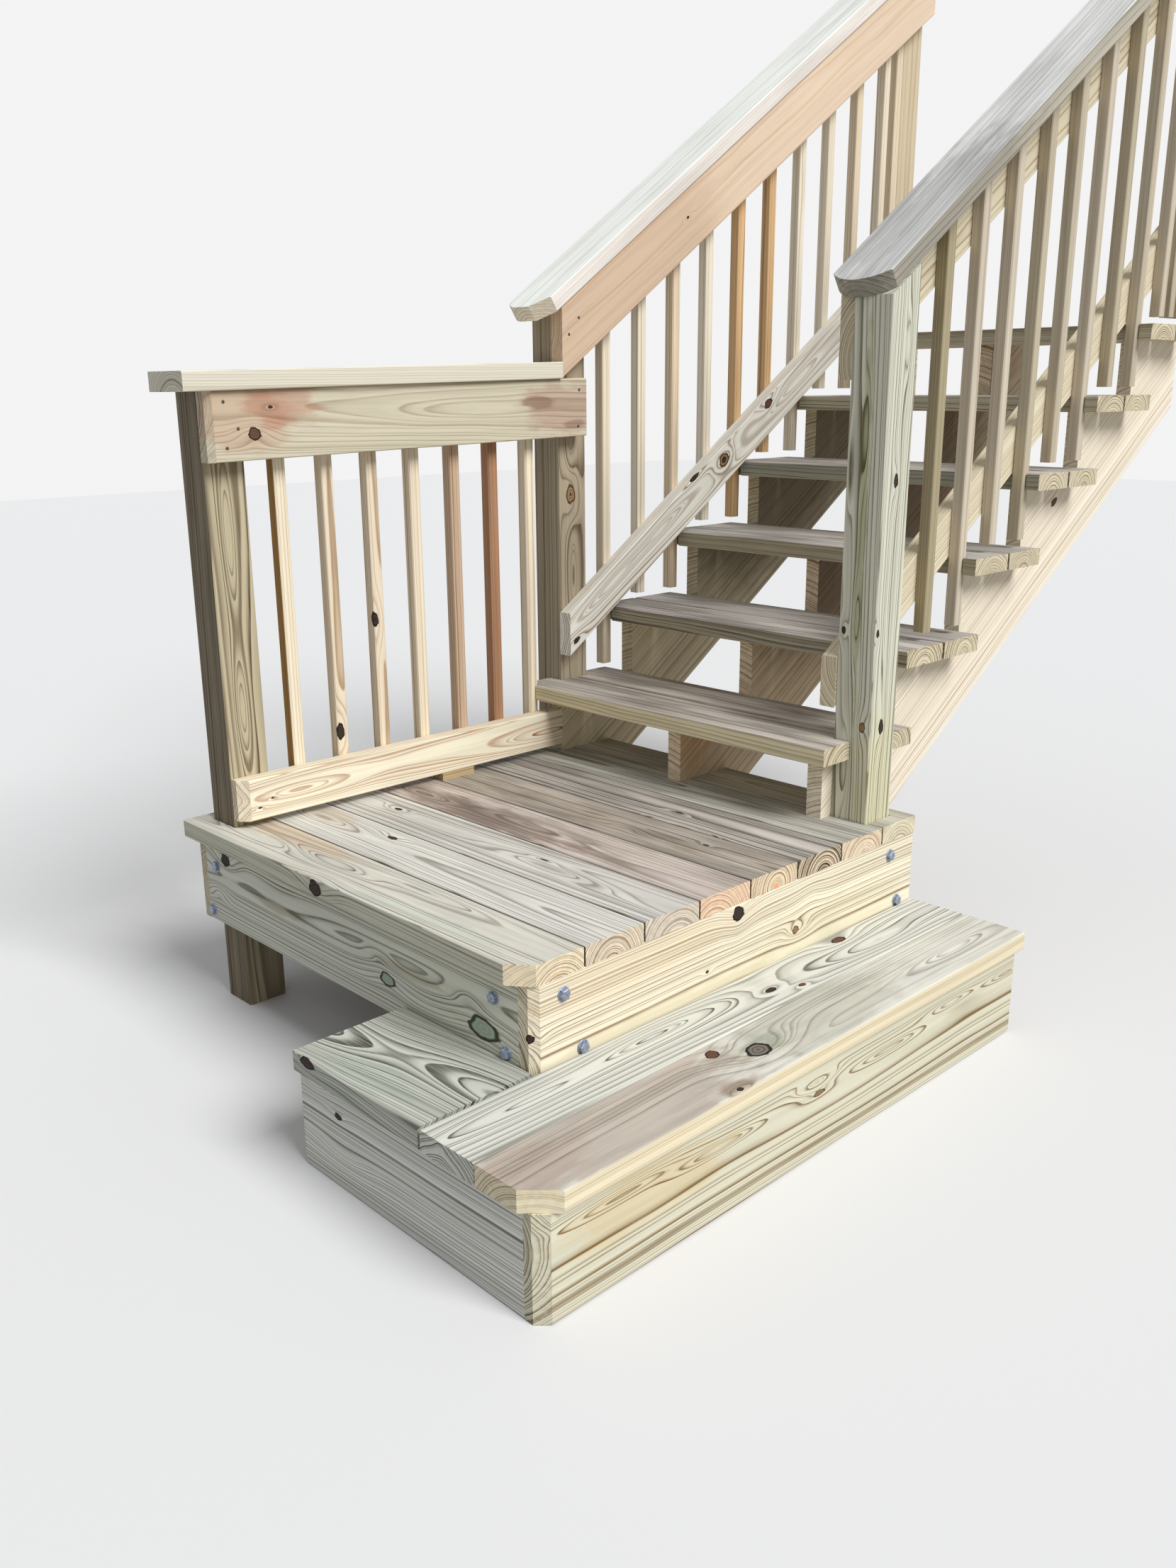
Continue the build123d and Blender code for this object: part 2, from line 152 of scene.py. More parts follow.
class Finish:
    """A material in the making, with short names for the nodes that it is made of."""

    def __init__(self, name):
        self.material = bpy.data.materials.new(name)
        self.material.use_nodes = True
        self.tree = self.material.node_tree
        self.shader = self.tree.nodes["Principled BSDF"]

    def add(self, kind, inputs=(), output=0, **settings):
        node = self.tree.nodes.new(kind)
        for key, value in settings.items():
            setattr(node, key, value)
        for key, value in dict(inputs).items():
            self.give(node.inputs[key], value)
        return node.outputs[output]

    def give(self, socket, value):
        if isinstance(value, bpy.types.NodeSocket):
            self.tree.links.new(value, socket)
        else:
            socket.default_value = value

    def math(self, operation, a, b=0.0, c=0.0):
        return self.add("ShaderNodeMath", {0: a, 1: b, 2: c}, operation=operation)

    def vector(self, operation, a, b=(0, 0, 0), output=0):
        return self.add("ShaderNodeVectorMath", {0: a, 1: b}, output, operation=operation)

    def noise(self, where, stretch, detail=2.0, output=0):
        where = self.vector("MULTIPLY", where, stretch)
        inputs = {"Vector": where, "Scale": 1.0, "Detail": detail}
        return self.add("ShaderNodeTexNoise", inputs, output)

    def blend(self, share, a, b, kind="MIX"):
        inputs = {0: share, 6: a, 7: b}
        return self.add("ShaderNodeMix", inputs, 2, data_type="RGBA", blend_type=kind)

    def scaled(self, colour, factor):
        inputs = {0: colour, "Scale": factor}
        return self.add("ShaderNodeVectorMath", inputs, operation="SCALE")

    def between(self, value, low, high, out_low=0.0, out_high=1.0):
        inputs = {0: value, 1: low, 2: high, 3: out_low, 4: out_high}
        return self.add("ShaderNodeMapRange", inputs, interpolation_type="SMOOTHSTEP")

    def ramp(self, value, stops):
        socket = self.add("ShaderNodeValToRGB", {0: value})
        elements = socket.node.color_ramp.elements
        while len(elements) < len(stops):
            elements.new(0.5)
        for element, (position, level) in zip(elements, stops):
            element.position = position
            element.color = grey(level)
        return socket

    def offset(self, where, centre, across, along):
        """How far a place lies from a centre, measured in sizes given in mm."""
        away = self.vector("SUBTRACT", where, centre)
        return self.vector("MULTIPLY", away, (1000 / across, 1000 / across, 1000 / along))

    def hill(self, offset, steepness=1.0):
        """1 in the middle, and less the longer the offset is."""
        square = self.vector("DOT_PRODUCT", offset, offset, 1)
        return self.math("EXPONENT", self.math("MULTIPLY", square, -steepness))

    def paint(self, share, colour):
        """Lays a colour over what the material shows so far."""
        self.colour = self.blend(share, self.colour, colour)
        self.give(self.shader.inputs["Base Color"], self.colour)


# Each knot kind is the colour of its heart, the colour of the line round it and how strongly
# that line comes back in the rings of the knot
DARK_KNOT = ((70, 54, 44), (26, 21, 18), 0.75)
TAN_KNOT = ((170, 138, 100), (88, 64, 42), 0.7)


def timber(log, pale, late, ring=6.0, strength=0.85, bold=1.0, wander=6.0, heart=None,
           second=None, swells=(), knots=(), seed=0.0):
    """The wood of a log, for its node. pale and late are the two colours of a growth ring and
    ring is its width in mm. strength and bold make its line darker and broader, and wander
    makes it drift. heart is (colour, radius) round the pith. second is a colour that some of
    the boards lean to. swells are (point, across, along, rings) that push the rings apart.
    knots are (point, size, length, kind)."""
    w = Finish(log.obj.name)
    w.log = log
    tree = w.add("ShaderNodeAttribute", output=1, attribute_name="tree")
    w.moved = moved = w.vector("ADD", tree, (0, 0, seed))
    half = (0.5, 0.5, 0.5)
    # Where a point lies among the rings, counted from the pith
    slow = w.vector("SUBTRACT", w.noise(moved, WANDER_WAVES, output=1), half)
    quick = w.vector("SUBTRACT", w.noise(moved, RIPPLE_WAVES, output=1), half)
    ripple = w.vector("MULTIPLY", quick, RIPPLE)
    w.near = near = w.vector("ADD", tree, w.vector("MULTIPLY", ripple, (2, 2, 2)))
    drift = w.vector("MULTIPLY", slow, (wander / 500, wander / 500, 0))
    bent = w.vector("ADD", w.vector("ADD", tree, drift), ripple)
    spread = w.vector("LENGTH", w.vector("MULTIPLY", bent, (1, 1, 0)), output=1)
    rings = w.math("DIVIDE", spread, ring / 1000)
    for point, across, along, height in swells:
        offset = w.offset(tree, log.place(point), across, along)
        rings = w.math("MULTIPLY_ADD", w.hill(offset), height, rings)
    spans = []
    for point, size, length, kind in knots:
        offset = w.offset(near, log.place(point), size, length)
        rough = w.math("MULTIPLY_ADD", w.noise(offset, (1.1, 1.1, 1.1), detail=3.0), 0.7, 0.65)
        spans.append((w.math("MULTIPLY", w.vector("LENGTH", offset, output=1), rough), kind))
        offset = w.vector("MULTIPLY", offset, (1, 1, 0.6))
        rings = w.math("MULTIPLY_ADD", w.hill(offset, 0.24), 0.8 + 0.7 * size / ring, rings)
    uneven = w.add("ShaderNodeTexNoise",
                   {"W": w.math("ADD", rings, seed * 7.3), "Scale": 0.45, "Detail": 1.0},
                   noise_dimensions="1D")
    rings = w.math("MULTIPLY_ADD", uneven, 2.4, rings)
    # The line of each ring, some broader and darker than others
    each = w.math("ADD", w.math("FLOOR", rings), seed)
    each = w.add("ShaderNodeTexWhiteNoise", {"W": each}, noise_dimensions="1D")
    part = w.math("POWER", w.math("FRACT", rings),
                  w.math("MULTIPLY_ADD", each, 1.3 / bold, 0.6 / bold))
    line = w.ramp(part, RING_PROFILE)
    other = w.math("FRACT", w.math("MULTIPLY", each, 7.3))
    line = w.math("MULTIPLY", line, w.math("MULTIPLY_ADD", other, 0.5, 0.55))
    fibre = w.noise(moved, FIBRE_WAVES, detail=3.0)
    w.line = line = w.math("MULTIPLY", line, w.between(fibre, 0.25, 0.75, 0.75, 1.1))
    base, dark = linear(pale), linear(late)
    if second:
        tone = w.add("ShaderNodeAttribute", output=2, attribute_name="tone")
        base = w.blend(tone, base, linear(second))
        dark = w.blend(tone, dark, linear([c * 0.62 for c in late]))
    if heart:
        colour, radius = heart
        inside = w.between(spread, radius / 1000, radius / 2500, 0.0, 0.85)
        base = w.blend(inside, base, linear(colour))
    w.colour = w.blend(w.math("MULTIPLY", line, strength), base, dark)
    # Sawn ends, where the dark part of each ring is darker still
    w.normal = w.add("ShaderNodeNewGeometry", output=1)
    end = w.vector("DOT_PRODUCT", w.normal, tuple(log.axes[2]), 1)
    end = w.between(w.math("ABSOLUTE", end), 0.7, 0.9, 0.0, 0.8)
    w.paint(w.math("MULTIPLY", end, line), linear([c * 0.72 for c in late]))
    streak = w.noise(moved, STREAK_WAVES, detail=3.0)
    w.light = w.between(streak, 0.2, 0.8, 0.91, 1.06)
    w.colour = w.scaled(w.colour, w.light)
    # Knots, with rings of their own. sound is 0 inside them, so that nothing later covers them
    w.sound = 1.0
    for span, (core, edge, depth) in spans:
        whorl = w.math("SINE", w.math("MULTIPLY", span, KNOT_RINGS))
        disc = w.blend(w.between(whorl, -1.0, 1.0, 0.05, depth), linear(core), linear(edge))
        disc = w.blend(w.between(span, 0.7, 0.86), disc, linear(edge))
        disc_share = w.between(span, 1.12, 0.98)
        w.paint(disc_share, disc)
        w.sound = w.math("MULTIPLY", w.sound, w.math("SUBTRACT", 1.0, disc_share))
    height = w.math("ADD", w.math("MULTIPLY", line, 0.7), fibre)
    bump = w.add("ShaderNodeBump", {"Strength": 0.4, "Distance": 0.0007, "Height": height})
    w.give(w.shader.inputs["Normal"], bump)
    w.give(w.shader.inputs["Roughness"], w.between(fibre, 0.2, 0.8, 0.68, 0.86))
    w.give(w.shader.inputs["Specular IOR Level"], 0.25)
    log.obj.data.materials.clear()
    log.obj.data.materials.append(w.material)
    return w


def facing(w, way):
    """The faces that look one way. Rounded arrises count as looking up, but not as sideways."""
    least, most = (0.1, 0.35) if way == TOP else (0.82, 0.96)
    return w.between(w.vector("DOT_PRODUCT", w.normal, way, 1), least, most)


# How much of the fresh wood a weathered skin hides, and the part of that where it is worn
SKIN_COVER, SKIN_WORN = 0.94, 0.85


def skin(w, pale, late, way=TOP, grime=0.08):
    """Other ring colours on the faces that look one way, worn thinner in patches. grime is how
    much darker the dirtiest patches are."""
    worn = w.between(w.noise(w.moved, (40, 40, 5), detail=4.0), 0.2, 0.8,
                     SKIN_COVER * SKIN_WORN, SKIN_COVER)
    check = w.between(w.noise(w.moved, (430, 430, 6)), 0.6, 0.76, 1.0, 0.7)
    dirt = w.between(w.noise(w.near, (26, 26, 4), detail=5.0), 0.36, 0.66,
                     1.0 + grime / 2, 1.0 - grime)
    colour = w.blend(w.line, linear(pale), linear(late))
    shade = w.math("MULTIPLY", w.math("MULTIPLY", check, dirt), w.light)
    colour = w.scaled(colour, shade)
    w.paint(w.math("MULTIPLY", w.math("MULTIPLY", facing(w, way), worn), w.sound), colour)


def blotch(w, point, across, along, colour, share, way=None, ragged=1.1):
    """A patch of another colour round a point, with a ragged or a soft edge. Lines still show in
    it. It keeps to the faces that look one way, if that is given."""
    fall = w.hill(w.offset(w.near, w.log.place(point), across, along))
    near = w.math("MULTIPLY_ADD", w.noise(w.moved, (52, 52, 14), detail=5.0), ragged,
                  w.math("SUBTRACT", fall, ragged / 2))
    tinted = w.blend(1.0, w.colour, linear(colour), kind="MULTIPLY")
    there = w.math("MULTIPLY", w.between(near, 0.3, 0.7, 0.0, share), w.sound)
    w.paint(w.math("MULTIPLY", there, facing(w, way)) if way else there, tinted)


wood = timber(
    Log("post_front_left", "z", [(-66, 12)], lean=(12, -9)),
    pale=(198, 186, 155), late=(84, 62, 42), ring=6.0, strength=1.0, bold=1.5, seed=0.4,
    swells=[(at(-968, 66, 250), 16, 120, -3.4), (at(-968, 66, 600), 14, 140, -3)])
# Its front face is painted dark brown all over: painted shade.
skin(wood, (124, 112, 94), (62, 50, 38), way=FRONT)
timber(Log("post_front_right", "z", [(52, -40)]), pale=(206, 190, 152), late=(140, 114, 78))
timber(
    Log("post_back_left", "z", [(-96, 10)], lean=(6, 5)),
    pale=(180, 166, 142), late=(92, 74, 54), ring=5.2, strength=0.95, seed=1.7,
    swells=[(at(-968, 1016, 430), 14, 90, -3), (at(-968, 1010, 800), 14, 90, -3)],
    knots=[(at(-968, 1010, 631), 14, 22, TAN_KNOT), (at(-968, 1010, 631), 3, 4, DARK_KNOT)])
wood = timber(
    Log("post_back_right", "z", [(-60, 70)], lean=(-5, 8)),
    pale=(222, 221, 203), late=(108, 102, 74), ring=4.4, strength=1.0, wander=3.0, seed=2.2,
    swells=[(at(-118, 971, 721), 9, 90, 1.6), (at(-82, 971, 803), 10, 110, -2.0),
            (at(-87, 971, 425), 9, 90, 2), (at(-38, 1008, 300), 10, 90, 1.6),
            (at(-38, 1033, 960), 10, 80, 2), (at(-95, 971, 120), 12, 90, -2)],
    knots=[(at(-38, 1013, 704), 7, 13, DARK_KNOT), (at(-38, 980, 404), 5, 8, DARK_KNOT),
           (at(-115, 971, 404), 5, 8, DARK_KNOT), (at(-38, 1010, 205), 8, 15, DARK_KNOT),
           (at(-58, 971, 206), 7, 11, TAN_KNOT)])
blotch(wood, at(-84, 971, 640), 12, 420, (206, 208, 178), 0.8)
blotch(wood, at(-38, 1010, 60), 60, 220, (255, 250, 226), 0.8)


# Rims of the landing. Four pine boards on edge, nailed round the joists and bolted to the
# posts. The right one is pale yellow with fine lines above and a plain band below; the front
# one is greener, with a big green knot near the corner. Both have loose black knots.
GREEN_KNOT = ((176, 190, 170), (62, 66, 54), 0.22)
RED_KNOT = ((122, 84, 62), (50, 34, 27), 0.7)
wood = timber(
    Log("landing_rim_right", "y", [(-98, -76)], lean=(0, 5)),
    pale=(246, 238, 213), late=(132, 98, 60), ring=4.6, strength=1.0, wander=3.0, seed=1.3,
    swells=[(at(0, 740, -80), 34, 44, -1.4), (at(0, 712, -146), 20, 44, 1.6),
            (at(0, 514, -90), 24, 30, 1.2)],
    knots=[(at(0, 514, -57), 14, 15, DARK_KNOT), (at(0, 692, -143), 8, 9, TAN_KNOT),
           (at(0, 428, -148), 3, 4, DARK_KNOT), (at(-12, 0, -133), 8, 9, DARK_KNOT)])
blotch(wood, at(0, 250, -70), 50, 300, (255, 247, 238), 0.7)
blotch(wood, at(0, 820, -160), 60, 300, (242, 242, 234), 0.7)
blotch(wood, at(0, 300, -190), 26, 400, (240, 236, 226), 0.7)
wood = timber(
    Log("landing_rim_front", "x", [(46, 24)], lean=(0, -14)),
    pale=(226, 226, 212), late=(104, 104, 86), ring=4.4, strength=1.0, bold=1.3, wander=3.0,
    seed=3.1,
    swells=[(at(-1014, 0, -150), 18, 40, 3), (at(-430, 0, -118), 14, 40, 1.6),
            (at(-170, 0, -112), 20, 50, 2), (at(-760, 0, -90), 24, 150, 1.4)],
    knots=[(at(-975, 0, -68), 14, 16, DARK_KNOT), (at(-403, 0, -155), 13, 22, GREEN_KNOT),
           (at(-128, 0, -155), 20, 38, GREEN_KNOT)])
blotch(wood, at(-780, 0, -120), 12, 110, (214, 206, 192), 0.8)
blotch(wood, at(-330, 0, -120), 12, 120, (220, 214, 198), 0.7)
timber(
    Log("landing_rim_left", "y", [(60, -20)], lean=(0, 9)),
    pale=(214, 206, 178), late=(152, 134, 100), ring=5.0, seed=0.9,
    knots=[(at(-1095, 380, -120), 11, 15, TAN_KNOT)])
timber(
    Log("landing_rim_back", "x", [(-64, 18)], lean=(0, -8)),
    pale=(212, 204, 176), late=(150, 132, 98), ring=5.0, seed=5.2,
    knots=[(at(-300, 1098, -90), 10, 13, RED_KNOT)])


# Joists and ledgers. Plain pine framing nailed between the rims and under them, out of sight
# below the landing and the low step, where it keeps the tan colour of new treated wood.
FRAMING = {"pale": (206, 190, 148), "late": (150, 122, 80), "ring": 5.0, "second": (196, 172, 130)}
for name, grain in {"landing_joists": "y", "step_joists": "x", "step_ledger_front": "x",
                    "step_ledger_side": "y"}.items():
    timber(Log(name, grain), **FRAMING)


# Deck boards. Eight pine boards are fixed flat across the joists, the last one ripped narrower.
# Their sawn ends line up on the right and show each board's rings; the tops have been walked
# on and rained on and run from pale grey-green at the front to greyish brown in the middle,
# which is partly the weathered wood and partly painted shade.
DECK_TOP = 0.0
BACK = (0, 1, 0)
# Painted shade: the dark laid on the board edges that face the gaps between the deck boards.
GAP_SHADE = (96, 86, 72)


def seams(wood, ways=(BACK, FRONT)):
    """Painted shade of the gaps between the boards, on the edges of a board that face them."""
    for way in ways:
        skin(wood, GAP_SHADE, GAP_SHADE, way=way)


wood = timber(
    Log("deck_board_1", "x", [(6, -52)], lean=(10, -6)),
    pale=(243, 228, 196), late=(164, 136, 98), ring=5.4, heart=((240, 196, 160), 54), seed=0.2,
    swells=[(at(-900, 34, DECK_TOP), 20, 170, 4), (at(-402, 86, DECK_TOP), 20, 260, -3),
            (at(-640, 50, DECK_TOP), 20, 120, -3)],
    knots=[(at(-588, -24, -18), 15, 20, DARK_KNOT)])
seams(wood, [BACK])
skin(wood, (214, 213, 204), (98, 94, 80))
skin(wood, (206, 207, 192), (104, 104, 86), way=FRONT)
blotch(wood, at(-300, 4, DECK_TOP), 22, 240, (236, 246, 240), 0.6)
blotch(wood, at(-820, 90, DECK_TOP), 44, 260, (246, 228, 212), 0.8)
wood = timber(
    Log("deck_board_2", "x", [(-4, -40)], lean=(-8, 10)),
    pale=(236, 220, 196), late=(150, 128, 98), ring=5.0, heart=((232, 190, 150), 22), seed=1.1,
    swells=[(at(-900, 203, DECK_TOP), 30, 120, -3)],
    knots=[(at(-677, 220, DECK_TOP), 7, 15, DARK_KNOT)])
seams(wood)
skin(wood, (224, 224, 218), (116, 112, 102))
blotch(wood, at(-900, 215, DECK_TOP), 40, 120, (242, 232, 218), 0.7)
wood = timber(
    Log("deck_board_3", "x", [(8, -58)], lean=(6, 8)),
    pale=(232, 220, 202), late=(178, 160, 136), ring=5.4, seed=2.4,
    swells=[(at(-300, 330, DECK_TOP), 24, 200, 3)],
    knots=[(at(-826, 345, DECK_TOP), 6, 12, DARK_KNOT),
           (at(-356, 350, DECK_TOP), 3, 13, DARK_KNOT)])
seams(wood)
skin(wood, (214, 212, 206), (110, 106, 98), grime=0.14)
wood = timber(
    Log("deck_board_4", "x", [(-26, -56)], lean=(-12, 6)),
    pale=(244, 214, 184), late=(206, 160, 118), ring=5.0, seed=3.7,
    swells=[(at(-880, 458, DECK_TOP), 22, 90, -4), (at(-560, 480, DECK_TOP), 26, 170, -3)])
seams(wood)
skin(wood, (197, 188, 181), (88, 76, 68), grime=0.34)
# A darker brown patch on the left of the top: partly a stain and partly painted shade.
blotch(wood, at(-660, 450, DECK_TOP), 60, 360, (190, 182, 176), 0.85)
wood = timber(
    Log("deck_board_5", "x", [(4, -16)], lean=(6, 2)),
    pale=(242, 222, 190), late=(160, 124, 88), ring=4.8, heart=((236, 168, 112), 12), seed=4.1,
    swells=[(at(-390, 606, DECK_TOP), 16, 60, 3)],
    knots=[(at(-190, 639, DECK_TOP), 4, 8, DARK_KNOT)])
seams(wood)
skin(wood, (172, 166, 158), (82, 72, 64), grime=0.34)
# A slightly darker patch on the left of the top: partly a stain and partly painted shade.
blotch(wood, at(-560, 610, DECK_TOP), 50, 420, (220, 214, 208), 0.6)
wood = timber(
    Log("deck_board_6", "x", [(16, -34)], lean=(-6, 4)),
    pale=(236, 216, 186), late=(70, 52, 34), ring=6.4, strength=1.0, bold=2.8, seed=5.6,
    swells=[(at(-300, 690, DECK_TOP), 18, 90, 3)],
    knots=[(at(-371, 760, DECK_TOP), 4, 12, DARK_KNOT)])
seams(wood)
skin(wood, (190, 186, 180), (98, 92, 86), grime=0.3)
wood = timber(
    Log("deck_board_7", "x", [(6, -34)], lean=(5, -9)),
    pale=(246, 228, 200), late=(176, 138, 98), ring=5.0, heart=((238, 186, 138), 20), seed=6.3,
    swells=[(at(-860, 766, DECK_TOP), 18, 60, 3), (at(-100, 780, DECK_TOP), 16, 90, 4)],
    knots=[(at(-862, 766, DECK_TOP), 5, 10, DARK_KNOT),
           (at(-371, 818, DECK_TOP), 4, 14, DARK_KNOT)])
seams(wood)
skin(wood, (192, 194, 187), (72, 72, 64), grime=0.3)
wood = timber(
    Log("deck_board_8", "x", [(0, -54)], lean=(4, 6)),
    pale=(232, 222, 194), late=(170, 150, 116), ring=4.8, seed=7.5)
seams(wood)
skin(wood, (190, 188, 176), (100, 94, 82), grime=0.2)


# Rims of the low step. Pine boards on edge, nailed together at the corners, stand round its free
# sides. The long one is flat-sawn along its middle, where the rings close into narrow eyes;
# the front one has strong grey lines over its whole width.
wood = timber(
    Log("step_rim_side", "y", [(-90.4, 20)], lean=(0, -4)),
    pale=(226, 222, 198), late=(130, 104, 62), ring=5.4, strength=1.0, bold=1.15, wander=4.0,
    seed=4.4,
    swells=[(at(262, -60, -262), 14, 150, -3.2), (at(262, 164, -280), 12, 110, -3),
            (at(262, 418, -268), 12, 50, 4), (at(262, 640, -283), 12, 120, -2.6),
            (at(262, 849, -262), 12, 90, -3.2), (at(262, 1057, -268), 12, 90, -3.2)],
    knots=[(at(262, 424, -290), 5, 15, TAN_KNOT)])
blotch(wood, at(262, 0, -290), 60, 200, (255, 236, 206), 0.6)
timber(
    Log("step_rim_front", "x", [(70, -130)], lean=(0, 16)),
    pale=(244, 243, 235), late=(92, 92, 78), ring=4.6, strength=1.0, bold=1.2, wander=4.0,
    seed=2.9,
    swells=[(at(-232, -226, -350), 26, 90, 3), (at(-306, -226, -241), 14, 40, 2)],
    knots=[(at(-240, -226, -276), 6, 10, DARK_KNOT)])
timber(Log("step_end_rims", "x"), pale=(214, 206, 178), late=(146, 124, 86), ring=5.0)


# Boards of the low step. A wide pine board is nailed flat on the rims in front; two long ones
# run back along the landing's side. The first two are pale with strong olive arches, the outer
# one is greyish pink, with a clipped corner and the blackest knots.
STEP_TOP = -190.0
GREY_KNOT = ((128, 122, 112), (30, 27, 25), 0.55)
wood = timber(
    Log("step_board_front", "x", [(0, -130)], lean=(26, 4)),
    pale=(206, 208, 197), late=(74, 72, 58), ring=9.0, strength=1.0, bold=1.8, wander=7.0,
    seed=1.9,
    swells=[(at(-450, -160, STEP_TOP), 70, 240, -8), (at(30, -84, STEP_TOP), 70, 240, -8)],
    knots=[(at(-306, -238, -198), 9, 20, DARK_KNOT)])
blotch(wood, at(-180, -190, STEP_TOP), 50, 120, (240, 250, 244), 0.6)
timber(
    Log("step_board_inner", "y", [(-4, -74)], lean=(12, 4)),
    pale=(226, 226, 216), late=(84, 80, 66), ring=6.8, strength=1.0, bold=1.3, wander=4.0,
    seed=3.3,
    swells=[(at(56, -60, STEP_TOP), 20, 190, -4), (at(46, 240, STEP_TOP), 22, 150, -5),
            (at(50, 520, STEP_TOP), 30, 80, 1.8), (at(84, 853, STEP_TOP), 20, 110, -3.4),
            (at(62, 1060, STEP_TOP), 24, 160, -2)],
    knots=[(at(76, 522, STEP_TOP), 7, 14, DARK_KNOT), (at(27, 802, STEP_TOP), 10, 20, RED_KNOT),
           (at(103, 581, STEP_TOP), 5, 9, RED_KNOT)])
wood = timber(
    Log("step_board_outer", "y", [(34, -72)], lean=(-8, 5)),
    pale=(242, 230, 198), late=(180, 150, 104), ring=5.6, strength=0.85, wander=5.0, seed=6.1,
    swells=[(at(206, 360, STEP_TOP), 34, 90, 2), (at(210, 920, STEP_TOP), 20, 150, -2)],
    knots=[(at(162, 254, STEP_TOP), 12, 14, RED_KNOT), (at(206, 323, STEP_TOP), 20, 27, GREY_KNOT),
           (at(268, 199, STEP_TOP), 5, 7, DARK_KNOT)])
skin(wood, (226, 226, 218), (162, 157, 148), grime=0.14)
blotch(wood, at(190, -10, STEP_TOP), 170, 350, (218, 208, 204), 0.95, way=TOP)
blotch(wood, at(200, -190, STEP_TOP), 60, 120, (240, 228, 224), 0.6, way=TOP)
blotch(wood, at(190, 500, STEP_TOP), 110, 240, (226, 226, 222), 0.9, way=TOP)
blotch(wood, at(196, 350, STEP_TOP), 34, 60, (214, 222, 214), 0.8)
blotch(wood, at(266, 199, STEP_TOP), 30, 40, (214, 206, 196), 1.0, way=TOP, ragged=0.3)


# Guard of the landing, nailed together from pine. A flat cap and a wide face board join the two
# left posts, seven balusters hang behind them, and a bottom rail stands on a small block. The
# face board is pinkish round a dark knot; the rail is cream with orange arches.
timber(
    Log("guard_cap", "y", [(30, -70)], lean=(6, 0)),
    pale=(228, 223, 205), late=(176, 160, 128), ring=5.0, strength=0.6, seed=0.7)
wood = timber(
    Log("guard_face_board", "y", [(-86, 24)], lean=(12, -6)),
    pale=(216, 208, 184), late=(152, 130, 100), ring=4.4, strength=0.7, wander=6.0, seed=2.6,
    swells=[(at(-930, 640, 838), 26, 190, -2.0)],
    knots=[(at(-930, 122, 802), 12, 13, RED_KNOT), (at(-930, 159, 852), 3, 5, DARK_KNOT)])
blotch(wood, at(-930, 100, 836), 90, 120, (246, 228, 222), 0.9)
blotch(wood, at(-930, 190, 856), 52, 90, (240, 214, 210), 1.0)
blotch(wood, at(-930, 960, 836), 70, 160, (234, 214, 214), 0.9)
blotch(wood, at(-930, 880, 850), 16, 60, (200, 186, 178), 0.8)
blotch(wood, at(-930, 990, 800), 12, 40, (206, 192, 188), 0.8)
timber(
    Log("guard_bottom_rail", "y", [(-62, 10)], lean=(14, 9)),
    pale=(247, 240, 214), late=(168, 98, 46), ring=4.8, strength=1.0, bold=1.5, wander=5.0,
    seed=1.5,
    swells=[(at(-930, 160, 62), 22, 150, -4), (at(-930, 880, 56), 20, 150, -4)],
    knots=[(at(-930, 99, 58), 2, 4, DARK_KNOT), (at(-930, 67, 43), 2, 5, DARK_KNOT)])
wood = timber(
    Log("guard_balusters", "z", tones=[0.0, 0.2, 0.2, 0.12, 0.65, 1.0, 0.0]),
    pale=(250, 238, 212), late=(172, 136, 96), ring=4.6, strength=0.85, wander=3.0,
    second=(184, 138, 106), seed=4.9,
    knots=[(at(-968, 302, 160), 9, 18, DARK_KNOT), (at(-971, 411, 395), 8, 16, DARK_KNOT)])
blotch(wood, at(-982, 180, 400), 60, 900, (190, 156, 104), 1.0, way=FRONT)
timber(Log("guard_spacer", "y"), **FRAMING)


# Stringers. Three wide pine boards, notched by saw, stand on the landing and carry the treads;
# the notches and the plumb cuts show end grain. They are quarter-sawn, so the faces are
# striped from end to end with fine straight lines that run with the pitch.
timber(
    Log("stringer_right", "pitch", [(70, -150)]),
    pale=(246, 236, 216), late=(176, 140, 98), ring=6.4, strength=0.8, wander=6.0, seed=0.5,
    knots=[(at(-127, 1847, 606), 8, 14, RED_KNOT)])
wood = timber(
    Log("stringer_middle", "pitch", [(-62, -150)]),
    pale=(226, 206, 176), late=(160, 124, 92), ring=8.4, strength=0.7, wander=9.0, seed=1.2)
# Painted shade: the upper part of the middle stringer is darkened where the treads shade it.
blotch(wood, at(-548, 1700, 700), 400, 760, (150, 146, 140), 1.0, ragged=0.2)
blotch(wood, at(-529, 985, 80), 70, 70, (255, 236, 220), 0.9)
skin(wood, (244, 228, 202), (160, 124, 88), way=FRONT)
wood = timber(
    Log("stringer_left", "pitch", [(60, -150)]),
    pale=(230, 217, 186), late=(158, 134, 98), ring=8.4, strength=0.7, wander=9.0, seed=2.8)
# Painted shade: the upper part of the left stringer is darkened where the treads shade it.
blotch(wood, at(-968, 1800, 760), 400, 660, (150, 146, 140), 1.0, ragged=0.2)
skin(wood, (222, 210, 180), (140, 114, 78), way=FRONT)


# Treads. Each is two pine boards fixed across the stringers with a narrow gap, and cut out round
# the posts and balusters. The tops are grey and lilac from weather, the front edges have kept
# their green-brown lines and the sawn ends are pale.
TREAD_ENDS = {"pale": (226, 214, 184), "late": (140, 116, 80)}
